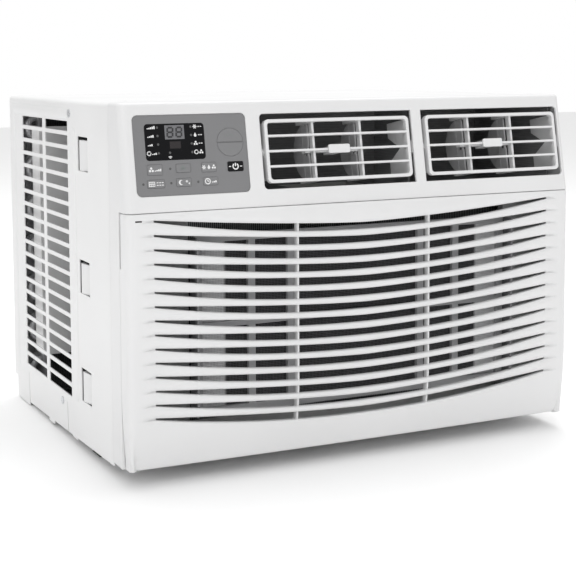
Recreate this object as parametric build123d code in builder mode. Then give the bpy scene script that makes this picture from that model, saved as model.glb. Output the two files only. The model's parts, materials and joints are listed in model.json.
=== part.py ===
from build123d import *
import os
from math import cos, radians, sin, tan

# Window air conditioner, built as an assembly of separate parts.
# Millimetres, +Z up, the room side faces -Y. The origin is the middle of the unit's
# footprint, on the surface that its feet stand on.

os.makedirs("parts", exist_ok=True)

# ---------------------------------------------------------------- overall sizes
WIDTH = 470.0
DEPTH = 391.0
HEIGHT = 340.0
BOW = 3.0                      # how far the intake grille bulges towards the room
LEAN = radians(10.25)          # backward lean of the upper front
SEAM_Z = 245.0                 # joint between the upper front and the intake grille
FASCIA_BOTTOM = 16.0
WALL = 2.5                     # moulded plastic wall
SHEET = 1.2                    # cabinet sheet metal
GAP = 0.5                      # gap at a visible joint

FRONT_Y = -DEPTH / 2
CORNER_Y = FRONT_Y + BOW
REAR_Y = DEPTH / 2


def at(depth):
    """Y of a plane this far behind the front corners."""
    return CORNER_Y + depth


def wall(depth):
    """Upright plane facing the room, with local x = X and local y = Z."""
    return Plane(origin=(0, at(depth), 0), x_dir=(1, 0, 0), z_dir=(0, -1, 0))


def side(x):
    """Upright plane facing +X, with local x = Y and local y = Z."""
    return Plane.YZ.offset(x)


# The leaning face: local x = X, local y runs up the slope, and normal is outwards.
FACE = Plane(origin=(0, CORNER_Y, SEAM_Z), x_dir=(1, 0, 0), z_dir=(0, -cos(LEAN), sin(LEAN)))


def face_point(x, v, depth):
    """Point on the leaning face's grid, this deep behind the face."""
    return FACE.from_local_coords((x, v, -depth))


def save(piece, name):
    """Label a finished sub-part and write its STEP file."""
    piece.part.label = name
    export_step(piece.part, f"parts/{name}.step")


def rod(start, end, radius, mode=Mode.ADD):
    """Round bar from one point to another, added to the part being built."""
    line = Vector(*end) - Vector(*start)
    with Locations(Plane(origin=start, z_dir=line.normalized())):
        Cylinder(radius, line.length, align=(Align.CENTER, Align.CENTER, Align.MIN), mode=mode)


def block(low, high, mode=Mode.ADD):
    """Box between two corners, added to or cut from the part being built."""
    size = [b - a for a, b in zip(low, high)]
    with Locations(tuple((a + b) / 2 for a, b in zip(low, high))):
        Box(*size, mode=mode)


# ---------------------------------------------------------------- base pan and feet
PAN_FRONT = at(48)
PAN_REAR = at(372)
PAN_HALF = 232.4
PAN_RIM_Z = 44.0
PAN_FRONT_Z = 13.5
PAN_REAR_Z = 1.0
PAN_T = 1.5
PAN_R = 2.5
DRAIN_R = 7.0
DRAIN_Z = 14.0
DRAIN_X = -120.0
SHAFT_X = -30.0                # fan shaft axis
SHAFT_Z = 142.0
COMPRESSOR = (158.0, at(236))
COMPRESSOR_FEET = (-90, 30, 150)
GROMMET_RING = 58.0            # radius of the circle of compressor feet
GROMMET_SEAT = 24.0
SEAT_R = 11.0
SCREW_R = 2.0
HEAD_R = 3.9
HEAD_T = 0.9
LOW_SCREW = (at(203), 36.0)    # side screws, as (y, z)
HIGH_SCREW = (at(164), 326.5)


def pan_floor(y):
    """Height of the pan's underside, which falls to the rear so that water drains."""
    return PAN_FRONT_Z + (PAN_REAR_Z - PAN_FRONT_Z) * (y - PAN_FRONT) / (PAN_REAR - PAN_FRONT)


def compressor_feet():
    """Centres of the compressor's three rubber feet, as (x, y)."""
    for angle in COMPRESSOR_FEET:
        turn = radians(angle)
        yield COMPRESSOR[0] + GROMMET_RING * cos(turn), COMPRESSOR[1] + GROMMET_RING * sin(turn)


with BuildPart() as base_pan:
    with BuildSketch(Plane.YZ):
        Polygon(
            (PAN_FRONT, PAN_RIM_Z),
            (PAN_REAR, PAN_RIM_Z),
            (PAN_REAR, PAN_REAR_Z),
            (PAN_FRONT, PAN_FRONT_Z),
            align=None,
        )
    extrude(amount=PAN_HALF, both=True)
    fillet(base_pan.faces().sort_by(Axis.Z)[0].edges(), PAN_R)
    offset(amount=-PAN_T, openings=base_pan.faces().sort_by(Axis.Z)[-1])
    # flat seats for the compressor's three feet
    for x, y in compressor_feet():
        low = pan_floor(y - SEAT_R) + 0.1
        rod((x, y, low), (x, y, GROMMET_SEAT), SEAT_R)
    # drain port in the rear wall
    with BuildSketch(wall(PAN_REAR - CORNER_Y + 1)):
        with Locations((DRAIN_X, DRAIN_Z)):
            Circle(DRAIN_R)
    extrude(amount=4, mode=Mode.SUBTRACT)
    # screw holes through both side flanges
    rod((-WIDTH, *LOW_SCREW), (WIDTH, *LOW_SCREW), SCREW_R, Mode.SUBTRACT)
save(base_pan, "base_pan")

FOOT = 22.0
FOOT_X = 214.0
FOOT_DEPTHS = (125.0, 350.0)
with BuildPart() as pan_feet:
    for depth in FOOT_DEPTHS:
        y0 = at(depth) - FOOT / 2
        y1 = at(depth) + FOOT / 2
        for x in (-FOOT_X, FOOT_X):
            with BuildSketch(side(x)):
                Polygon((y0, 0), (y1, 0), (y1, pan_floor(y1)), (y0, pan_floor(y0)), align=None)
            extrude(amount=FOOT / 2, both=True)
save(pan_feet, "pan_feet")

# ---------------------------------------------------------------- cabinet
CAB_FRONT = 46.0               # depth where the cabinet meets the fascia
CAB_HALF = 234.0
CAB_TOP = HEIGHT - 0.5
CAB_BOTTOM = 25.0              # lower edge behind the rear legs
SKIRT = (13.0, 4.4)            # lower edge's height at the front and just before the rear legs
SLIT_Z = 38.0                  # top of the slits in the lower edge
SLITS = (186.0, 329.0)         # depths of the slits
REAR_LEG = (331.0, 376.0)      # depths that the rear legs span
HOOK_TABS = ((244.0, 18.0, 3.5), (163.0, 16.0, 7.0))    # depth, length and lowest height
CAB_R = 5.0
RETURN = 12.0                  # inward flange round the open rear
LOUVRE_W = 77.3
LOUVRE_H = 9.7
LOUVRE_PITCH_Y = 87.5
LOUVRE_PITCH_Z = 13.82
LOUVRE_ROWS = 20
LOUVRE_MID = (at(253.6), 182.6)
SNAP_Y = at(123.5)
SNAP_ZS = (67.0, 172.0, 289.5)
SNAP_W = 31.0
SNAP_H = 32.5
BEADS = (                      # depth, height, length and height of each bead's middle line
    (372.0, 182.0, 0.0, 282.0),
    (269.0, 326.0, 206.0, 0.0),
    (152.0, 180.0, 0.0, 256.0),
)
BEAD_W = 6.0
BEAD_OUT = 0.5
RAIL_HOLE_X = 202.0
RAIL_HOLE_Y = at(91.5)
GLAND = (at(66), 118.0)
GLAND_R = 7.5


def cabinet_section(inset, mode=Mode.ADD):
    """Outline of the wrap-over cabinet, drawn in by inset, running down past the floor."""
    height = CAB_TOP + CAB_R
    with Locations((0, CAB_TOP - inset - height / 2)):
        RectangleRounded(2 * (CAB_HALF - inset), height, CAB_R - inset, mode=mode)


with BuildPart() as cabinet:
    with BuildSketch(wall(CAB_FRONT)):
        cabinet_section(0)
        cabinet_section(SHEET, Mode.SUBTRACT)
    extrude(amount=-(REAR_Y - at(CAB_FRONT)))
    with BuildSketch(Plane.XZ.offset(-REAR_Y)):
        cabinet_section(SHEET / 2)
        with Locations((0, (CAB_TOP - RETURN) / 2 - CAB_R)):
            Rectangle(2 * (CAB_HALF - RETURN), CAB_TOP - RETURN + 2 * CAB_R, mode=Mode.SUBTRACT)
    extrude(amount=SHEET)
    # the skirt's lower edge, with a leg at the rear
    with BuildSketch(Plane.YZ):
        Polygon(
            (at(0), -HEIGHT),
            (at(0), SKIRT[0]),
            (at(REAR_LEG[0] - 2), SKIRT[1]),
            (at(REAR_LEG[0] - 2), PAN_REAR_Z),
            (at(REAR_LEG[1]), PAN_REAR_Z),
            (at(REAR_LEG[1] + 1), CAB_BOTTOM),
            (at(DEPTH), CAB_BOTTOM),
            (at(DEPTH), -HEIGHT),
            align=None,
        )
        for depth, length, low in HOOK_TABS:
            with Locations((at(depth), low + HEIGHT / 2)):
                Rectangle(length, HEIGHT, mode=Mode.SUBTRACT)
        for depth in SLITS:
            foot = ((at(depth - 3), 0), (at(depth), 0))
            Polygon(*foot, (at(depth + 2), SLIT_Z), (at(depth + 0.8), SLIT_Z), align=None)
    extrude(amount=WIDTH, both=True, mode=Mode.SUBTRACT)
    # louvres and snap windows, cut through both sides at once
    with BuildSketch(Plane.YZ):
        with Locations(LOUVRE_MID):
            with GridLocations(LOUVRE_PITCH_Y, LOUVRE_PITCH_Z, 2, LOUVRE_ROWS):
                RectangleRounded(LOUVRE_W, LOUVRE_H, 0.8)
        for z in SNAP_ZS:
            with Locations((SNAP_Y, z)):
                RectangleRounded(SNAP_W, SNAP_H, 1.0)
        for hole in (LOW_SCREW, HIGH_SCREW):
            with Locations(hole):
                Circle(SCREW_R)
    extrude(amount=WIDTH, both=True, mode=Mode.SUBTRACT)
    # pressed beads round the louvres: behind, above and in front of them
    for hand in (-1, 1):
        with BuildSketch(side(hand * CAB_HALF)):
            for depth, z, length, height in BEADS:
                with Locations((at(depth), z)):
                    RectangleRounded(length + BEAD_W, height + BEAD_W, BEAD_W / 2.01)
        extrude(amount=hand * BEAD_OUT)
        rod((hand * CAB_HALF, *HIGH_SCREW), (hand * WIDTH, *HIGH_SCREW), HEAD_R + GAP, Mode.SUBTRACT)
        rod((0, *HIGH_SCREW), (hand * WIDTH, *HIGH_SCREW), SCREW_R, Mode.SUBTRACT)
    # holes for the window rail on top
    with BuildSketch(Plane.XY.offset(HEIGHT)):
        with Locations((0, RAIL_HOLE_Y)):
            with GridLocations(2 * RAIL_HOLE_X, 0, 2, 1):
                Circle(SCREW_R)
    extrude(amount=-5, mode=Mode.SUBTRACT)
    # hole for the cord gland on the right-hand side
    rod((CAB_HALF - 5, *GLAND), (CAB_HALF + 5, *GLAND), GLAND_R, Mode.SUBTRACT)
save(cabinet, "cabinet")

with BuildPart() as cabinet_screws:
    for hand in (-1, 1):
        for place in (LOW_SCREW, HIGH_SCREW):
            rod((hand * (CAB_HALF - 8), *place), (hand * CAB_HALF, *place), SCREW_R)
            rod((hand * CAB_HALF, *place), (hand * (CAB_HALF + HEAD_T), *place), HEAD_R)
save(cabinet_screws, "cabinet_screws")

with BuildPart() as cord_gland:
    rod((CAB_HALF - 6, *GLAND), (CAB_HALF, *GLAND), GLAND_R)
    rod((CAB_HALF, *GLAND), (CAB_HALF + 1, *GLAND), GLAND_R + 2.5)
    rod((CAB_HALF - 9, *GLAND), (CAB_HALF + 5, *GLAND), 3.6, Mode.SUBTRACT)
save(cord_gland, "cord_gland")

# ---------------------------------------------------------------- front fascia
FASCIA_BACK = 45.7
TOP_DEPTH = (HEIGHT - SEAM_Z) * tan(LEAN)
GRILLE_BACK = 19.0
GRILLE_PIVOT = (at(14), 23.0)
PIN_R = 2.0
RUNNING = 0.05
EAR_X = 226.0
EAR_T = 3.0
V_MID = 49.8                   # middle height of the openings, up the leaning face
PANEL_W = 107.6
PANEL_H = 71.0
PANEL_X = -169.8
PANEL_R = 5.0
OUTLET_W = 159.6
OUTLET_H = 68.8
DIVIDER_W = 11.0
OUTLET_XS = {"left": -22.0, "right": -22.0 + OUTLET_W + DIVIDER_W}
MIDDLE_X = sum(OUTLET_XS.values()) / 2
CASSETTE_PIN_DEPTH = 7.5
CASSETTE_PIN_R = 1.6
CASSETTE_W = 152.0
BOSS_T = 3.0
BOSS_H = 12.0
BOSS_DEPTH = 9.2
FASCIA_R = 7.0
FASCIA_TOP_R = 3.5
PANEL_SEAT = 1.6
SNAP_ARM = (-16.1, 12.9)       # lower and upper edges, from the window's middle
ARM_IN = 229.0
ARM_OUT = 230.6


def pin_seat(middle, hand):
    """Bore in an outlet's side boss for the cassette's pin."""
    start = face_point(middle + hand * (OUTLET_W / 2 - 1), V_MID, CASSETTE_PIN_DEPTH)
    end = face_point(middle + hand * (OUTLET_W / 2 + BOSS_T + 1), V_MID, CASSETTE_PIN_DEPTH)
    rod(start, end, CASSETTE_PIN_R + RUNNING, Mode.SUBTRACT)


def fascia_profile(inset, back):
    """Side view of the fascia, drawn in by inset except at the back."""
    front = at(inset / cos(LEAN))
    Polygon(
        (back, FASCIA_BOTTOM + inset),
        (front, FASCIA_BOTTOM + inset),
        (front, SEAM_Z),
        (front + (HEIGHT - inset - SEAM_Z) * tan(LEAN), HEIGHT - inset),
        (back, HEIGHT - inset),
        align=None,
    )


with BuildPart() as front_fascia:
    with BuildSketch(Plane.YZ):
        fascia_profile(0, at(FASCIA_BACK))
    extrude(amount=WIDTH / 2, both=True)
    fillet(
        front_fascia.edges().filter_by(
            lambda edge: abs(edge.center().X) > WIDTH / 2 - 1 and edge.center().Y < at(TOP_DEPTH / 2 + 1)
        ),
        FASCIA_R,
    )
    fillet(
        front_fascia.faces().sort_by(Axis.Z)[-1].edges().filter_by(
            lambda edge: edge.center().Y < at(FASCIA_BACK - 1)
        ),
        FASCIA_TOP_R,
    )
    with BuildSketch(Plane.YZ):
        fascia_profile(WALL, at(FASCIA_BACK + 1))
    extrude(amount=WIDTH / 2 - WALL, both=True, mode=Mode.SUBTRACT)
    # the intake grille stands in front of everything below the seam
    block((-WIDTH, FRONT_Y - 1, 0), (WIDTH, at(GRILLE_BACK + GAP), SEAM_Z), Mode.SUBTRACT)
    block((-WIDTH / 2 + WALL, at(2), SEAM_Z), (WIDTH / 2 - WALL, at(30), SEAM_Z + WALL))
    # both air outlets, with the divider left standing between them
    with BuildSketch(FACE.offset(1)):
        with Locations((MIDDLE_X, V_MID)):
            RectangleRounded(2 * OUTLET_W + DIVIDER_W, OUTLET_H, 4)
            Rectangle(DIVIDER_W, OUTLET_H, mode=Mode.SUBTRACT)
    extrude(amount=-8, mode=Mode.SUBTRACT)
    # recess and window for the control panel
    with BuildSketch(FACE.offset(1)):
        with Locations((PANEL_X, V_MID)):
            RectangleRounded(PANEL_W + 0.4, PANEL_H + 0.4, PANEL_R)
    extrude(amount=-1 - PANEL_SEAT, mode=Mode.SUBTRACT)
    with BuildSketch(FACE.offset(1)):
        with Locations((PANEL_X, V_MID)):
            RectangleRounded(PANEL_W - 5, PANEL_H - 5, PANEL_R - 2)
    extrude(amount=-8, mode=Mode.SUBTRACT)
    # bosses at the sides of each outlet carry the pins of its louvre cassette
    for middle in OUTLET_XS.values():
        for hand in (-1, 1):
            with BuildSketch(FACE.offset(0.2 - WALL)):
                with Locations((middle + hand * (OUTLET_W + BOSS_T) / 2, V_MID)):
                    Rectangle(BOSS_T, BOSS_H)
            extrude(amount=-BOSS_DEPTH)
            pin_seat(middle, hand)
    # ears for the grille's hinge pins
    for hand in (-1, 1):
        with BuildSketch(side(hand * EAR_X)):
            with Locations(GRILLE_PIVOT):
                Circle(4)
            Polygon(
                (at(14), 19),
                (at(20), 19),
                (at(20), FASCIA_BOTTOM + 1),
                (at(28), FASCIA_BOTTOM + 1),
                (at(28), 27),
                (at(14), 27),
                align=None,
            )
            with Locations(GRILLE_PIVOT):
                Circle(PIN_R + RUNNING, mode=Mode.SUBTRACT)
        extrude(amount=hand * EAR_T)
    # snap arms that reach back into the cabinet's side windows
    for hand in (-1, 1):
        for z in SNAP_ZS:
            low, high = z + SNAP_ARM[0], z + SNAP_ARM[1]
            with BuildSketch(Plane.XY.offset(low)):
                Polygon(
                    (hand * ARM_IN, at(38)),
                    (hand * (WIDTH / 2 - WALL), at(38)),
                    (hand * (WIDTH / 2 - WALL), at(FASCIA_BACK)),
                    (hand * ARM_OUT, at(50)),
                    (hand * ARM_OUT, at(111)),
                    (hand * (CAB_HALF - 0.3), at(130)),
                    (hand * (CAB_HALF - 0.3), at(134)),
                    (hand * ARM_IN, at(137)),
                    align=None,
                )
            extrude(amount=high - low)
save(front_fascia, "front_fascia")

# ---------------------------------------------------------------- intake grille
GRILLE_TOP = SEAM_Z - GAP
GRILLE_R = 7.0
TUCK_Z = 91.0                  # below this the front curves back under
TUCK_BACK = 12.3
SLOTS = 15
SLOT_PITCH = 12.5
SLOT_TOP_Z = 237.3
SLOT_HALF = 209.3
SLOT_END = 0.9                 # half the slot's height at its ends
SLOT_DIP_TOP = 12.8            # how far each slot's upper and lower edges sag in the middle
SLOT_DIP_LOW = 16.6
RIB_X = 70.0
RIB_T = 2.0
RIB_BACK = 9.0
LATCH_SLOT = ((-227.0, -221.0), (237.4, 238.8))    # x and z
PULL_T = 1.4                   # depth of the finger pulls in the side walls
PULL_FRONT = 15.5
PULL_LOW = 196.0
FILTER_HALF = 166.0
FILTER_FRONT = 15.0
FILTER_T = 4.0
FILTER_LOW = 56.0
FILTER_HIGH = 221.0
FILTER_MID = (FILTER_LOW + FILTER_HIGH) / 2
FILTER_H = FILTER_HIGH - FILTER_LOW
FILTER_BARS = (70.0, 110.0)
FILTER_RIM = 7.0
CROSS_H = 5.0
MESH_T = 0.6
RAIL_T = 2.5


def grille_form(inset, back):
    """The grille's outer shape as a solid, drawn in by inset on every side but the back."""
    half = WIDTH / 2 - inset
    front = at(inset)
    with BuildPart() as form:
        with BuildSketch(Plane.XY.offset(FASCIA_BOTTOM + inset)) as plan:
            with BuildLine():
                ThreePointArc((-half, front), (0, front - BOW), (half, front))
                Polyline((half, front), (half, back), (-half, back), (-half, front))
            make_face()
            fillet(plan.vertices().group_by(Axis.Y)[0], GRILLE_R - inset)
        extrude(amount=GRILLE_TOP - FASCIA_BOTTOM - 2 * inset)
        with BuildSketch(Plane.YZ):
            top = (front - BOW, TUCK_Z)
            mid = (front - BOW + TUCK_BACK / 4, (TUCK_Z + FASCIA_BOTTOM) / 2)
            low = (front - BOW + TUCK_BACK, FASCIA_BOTTOM)
            with BuildLine():
                ThreePointArc(top, mid, low)
                Polyline(low, (low[0], 0), (front - 2 * BOW, 0), (front - 2 * BOW, TUCK_Z), top)
            make_face()
        extrude(amount=WIDTH, both=True, mode=Mode.SUBTRACT)
    return form.part


with BuildPart() as intake_grille:
    add(grille_form(0, at(GRILLE_BACK)))
    fillet(
        intake_grille.edges().filter_by(
            lambda edge: edge.center().Z < FASCIA_BOTTOM + 0.1 and edge.center().Y < at(13)
        ),
        2,
    )
    add(grille_form(WALL, at(GRILLE_BACK + 1)), mode=Mode.SUBTRACT)
    # fifteen smiling slots, thin at their ends
    with BuildSketch(wall(-10)):
        for row in range(SLOTS):
            z = SLOT_TOP_Z - row * SLOT_PITCH
            upper = ((-SLOT_HALF, z + SLOT_END), (0, z + SLOT_END - SLOT_DIP_TOP), (SLOT_HALF, z + SLOT_END))
            lower = ((SLOT_HALF, z - SLOT_END), (0, z - SLOT_END - SLOT_DIP_LOW), (-SLOT_HALF, z - SLOT_END))
            with BuildLine():
                ThreePointArc(*upper)
                Line(upper[2], lower[0])
                ThreePointArc(*lower)
                Line(lower[2], upper[0])
            make_face()
    extrude(amount=-16, mode=Mode.SUBTRACT)
    # thin ribs tie the slats together from behind
    for x in (-RIB_X, RIB_X):
        block((x - RIB_T / 2, at(0), 40), (x + RIB_T / 2, at(RIB_BACK), GRILLE_TOP - 1))
    # rails for the air filter
    for hand in (-1, 1):
        inner, outer = sorted((hand * (FILTER_HALF + GAP), hand * (FILTER_HALF + GAP + RAIL_T)))
        block((inner, at(1), FILTER_LOW), (outer, at(20), FILTER_HIGH))
    outer = FILTER_HALF + GAP + RAIL_T
    block((-outer, at(4), FILTER_LOW - 3), (outer, at(20), FILTER_LOW))
    # latch slot and finger pulls
    (left, right), (low, high) = LATCH_SLOT
    block((left, FRONT_Y - 1, low), (right, at(6), high), Mode.SUBTRACT)
    for hand in (-1, 1):
        inner, outer = sorted((hand * (WIDTH / 2 - PULL_T), hand * WIDTH / 2))
        block((inner, at(PULL_FRONT), PULL_LOW), (outer, at(GRILLE_BACK), SEAM_Z), Mode.SUBTRACT)
    # round the lower rear corner about the hinge so that the grille can swing
    block((-WIDTH / 2 + WALL, at(11), 0), (WIDTH / 2 - WALL, at(22), 19), Mode.SUBTRACT)
    with BuildSketch(Plane.YZ):
        Polygon(
            GRILLE_PIVOT,
            (at(24), GRILLE_PIVOT[1]),
            (at(24), 0),
            (GRILLE_PIVOT[0], 0),
            align=None,
        )
        with Locations(GRILLE_PIVOT):
            Circle(5, mode=Mode.SUBTRACT)
    extrude(amount=WIDTH, both=True, mode=Mode.SUBTRACT)
    for hand in (-1, 1):
        rod((hand * (WIDTH / 2 - WALL), *GRILLE_PIVOT), (hand * (EAR_X - 1), *GRILLE_PIVOT), PIN_R)
save(intake_grille, "intake_grille")

with BuildPart() as filter_frame:
    with BuildSketch(wall(FILTER_FRONT)):
        with Locations((0, FILTER_MID)):
            RectangleRounded(2 * FILTER_HALF, FILTER_H, 3)
            Rectangle(2 * (FILTER_HALF - FILTER_RIM), FILTER_H - 2 * FILTER_RIM, mode=Mode.SUBTRACT)
            for x in FILTER_BARS:
                with GridLocations(2 * x, 0, 2, 1):
                    Rectangle(FILTER_RIM, FILTER_H - FILTER_RIM)
            Rectangle(2 * FILTER_HALF - FILTER_RIM, CROSS_H)
    extrude(amount=-FILTER_T)
save(filter_frame, "filter_frame")

with BuildPart() as filter_mesh:
    with BuildSketch(wall(FILTER_FRONT + FILTER_T)):
        with Locations((0, FILTER_MID)):
            Rectangle(2 * FILTER_HALF - 4, FILTER_H - 4)
    extrude(amount=-MESH_T)
save(filter_mesh, "filter_mesh")

# ---------------------------------------------------------------- control panel
PANEL_FACE = 0.4               # the overlay lies this deep in the fascia
OVERLAY_T = PANEL_SEAT - PANEL_FACE
KEY_GAP = 0.3
KEY_PROUD = 0.1
KEY_DEPTH = 4.0
LENS = (-184.8, 61.5, 56.2, 32.2)      # x, v, width, height
DIGITS = (-185.0, 69.9, 18.3, 12.4)
LED_R = 1.1
BOARD_DEPTH = 8.0
BOARD_T = 1.6
BOX_DEPTH = 24.0
KEYS = {                               # x, v, width, height
    "power_key": (-128.8, 37.6, 15.2, 8.8),
    "mode_key": (-154.7, 37.9, 13.6, 8.4),
    "fan_speed_key": (-205.5, 37.3, 14.0, 9.0),
    "eco_key": (-179.0, 37.9, 13.6, 7.4),
    "filter_key": (-205.4, 25.0, 16.0, 7.0),
    "sleep_key": (-179.4, 25.4, 14.0, 7.0),
    "timer_key": (-153.9, 25.4, 14.0, 7.0),
}
ROCKER = (-132.3, 59.5)
ROCKER_R = 12.5
LED_ROWS = (74.4, 67.0, 59.5, 51.8)
LED_PLACES = (
    [(x, v) for x in (-200.8, -169.2) for v in LED_ROWS]
    + [(-190.3, 51.9), (-191.3, 37.8), (-217.2, 25.1), (-191.3, 25.2), (-165.8, 25.3)]
)


def key_outline(name, grow, mode=Mode.ADD):
    """Outline of one key on the panel, enlarged by grow all round."""
    x, v, width, height = KEYS[name]
    with Locations((x, v)):
        RectangleRounded(width + 2 * grow, height + 2 * grow, 1.2 + grow, mode=mode)


def rocker_half(hand, grow, mode=Mode.ADD):
    """One half of the round up and down key, enlarged by grow."""
    cut = ROCKER_R + 1
    with BuildSketch(mode=Mode.PRIVATE) as half:
        with Locations(ROCKER):
            Circle(ROCKER_R + grow)
        with Locations((ROCKER[0], ROCKER[1] - hand * (cut - 0.5 + grow))):
            Rectangle(2 * cut, 2 * cut, mode=Mode.SUBTRACT)
    add(half.sketch, mode=mode)


with BuildPart() as control_overlay:
    with BuildSketch(FACE.offset(-PANEL_SEAT)):
        with Locations((PANEL_X, V_MID)):
            RectangleRounded(PANEL_W, PANEL_H, PANEL_R)
        for name in KEYS:
            key_outline(name, KEY_GAP, Mode.SUBTRACT)
        for hand in (-1, 1):
            rocker_half(hand, KEY_GAP, Mode.SUBTRACT)
        with Locations(LENS[:2]):
            RectangleRounded(*LENS[2:], 3, mode=Mode.SUBTRACT)
        with Locations(LED_PLACES):
            Circle(LED_R, mode=Mode.SUBTRACT)
    extrude(amount=OVERLAY_T)
save(control_overlay, "control_overlay")

for name in KEYS:
    with BuildPart() as key:
        with BuildSketch(FACE.offset(KEY_PROUD - PANEL_FACE)):
            key_outline(name, 0)
        extrude(amount=-KEY_DEPTH)
    save(key, name)

for name, hand in (("up_key", 1), ("down_key", -1)):
    with BuildPart() as key:
        with BuildSketch(FACE.offset(KEY_PROUD - PANEL_FACE)):
            rocker_half(hand, 0)
        extrude(amount=-KEY_DEPTH)
    save(key, name)

with BuildPart() as display_window:
    with BuildSketch(FACE.offset(-PANEL_SEAT)):
        with Locations(LENS[:2]):
            RectangleRounded(*LENS[2:], 3)
        with Locations(LED_PLACES):
            Circle(LED_R, mode=Mode.SUBTRACT)
    extrude(amount=OVERLAY_T + 0.1)
save(display_window, "display_window")

with BuildPart() as digit_display:
    with BuildSketch(FACE.offset(-BOARD_DEPTH)):
        with Locations(DIGITS[:2]):
            Rectangle(*DIGITS[2:])
    extrude(amount=BOARD_DEPTH - PANEL_SEAT)
save(digit_display, "digit_display")

with BuildPart() as indicator_leds:
    with BuildSketch(FACE.offset(-BOARD_DEPTH)):
        with Locations(LED_PLACES):
            Circle(LED_R)
    extrude(amount=BOARD_DEPTH - PANEL_FACE)
save(indicator_leds, "indicator_leds")

with BuildPart() as control_board:
    with BuildSketch(FACE.offset(-BOARD_DEPTH - BOARD_T)):
        with Locations((PANEL_X, V_MID)):
            Rectangle(PANEL_W - 12, PANEL_H - 12)
    extrude(amount=BOARD_T)
save(control_board, "control_board")

with BuildPart() as control_box:
    with BuildSketch(FACE.offset(-WALL - BOX_DEPTH)):
        with Locations((PANEL_X, V_MID)):
            Rectangle(PANEL_W - 1, PANEL_H)
    extrude(amount=BOX_DEPTH)
    offset(amount=-2, openings=control_box.faces().sort_by(Axis.Y)[0])
save(control_box, "control_box")

# ---------------------------------------------------------------- outlet louvre cassettes
CASSETTE_INSET = -1.0          # it stands this proud of the face
CASSETTE_H = 58.0
CASSETTE_T = 5.0
CASSETTE_R = 4.5
RIM = 3.0
BLADE_T = 2.0
BLADE_PITCH = 13.9
STILE_T = 2.2
STILE_FRONT = 3.0
STILE_BACK = 9.0
VANE_PITCH = 50.0
LUG_W = 9.0
LUG_BACK = 28.0
VANE_PIVOT = 24.0              # depth of the vanes' pivots
VANE_PIN_R = 1.25
VANE_FRONT = 13.6
VANE_BACK = 44.0
VANE_HALF = 25.0
VANE_T = 1.6
NOTCH_HALF = 4.0
NOTCH_BACK = 21.6
DRIVE_DEPTH = 15.5             # depth of the vanes' drive pins, in front of the pivots
DRIVE_R = 1.1
VANE_SWING = radians(30)
DRIVE_SWING = (VANE_PIVOT - DRIVE_DEPTH) * (1 - cos(VANE_SWING))
CHEEK_T = 2.0
CHEEK_BACK = 36.0
CHEEK_HALF = 26.0
CHEEK_NOTCH = (12.0, 15.0)     # half height at the rear edge and depth of the tip
TAB_HALF = 11.0
JAW_HALF = 5.0
TAB_H = 8.0
TAB_PROUD = 3.4
CAP_T = 2.0
TAB_SHIFT = -2.0               # the tab sits a little left of the middle
SLIDE_GAP = 0.4
LINK_FRONT = 13.0
LINK_BACK = 20.0

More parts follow.
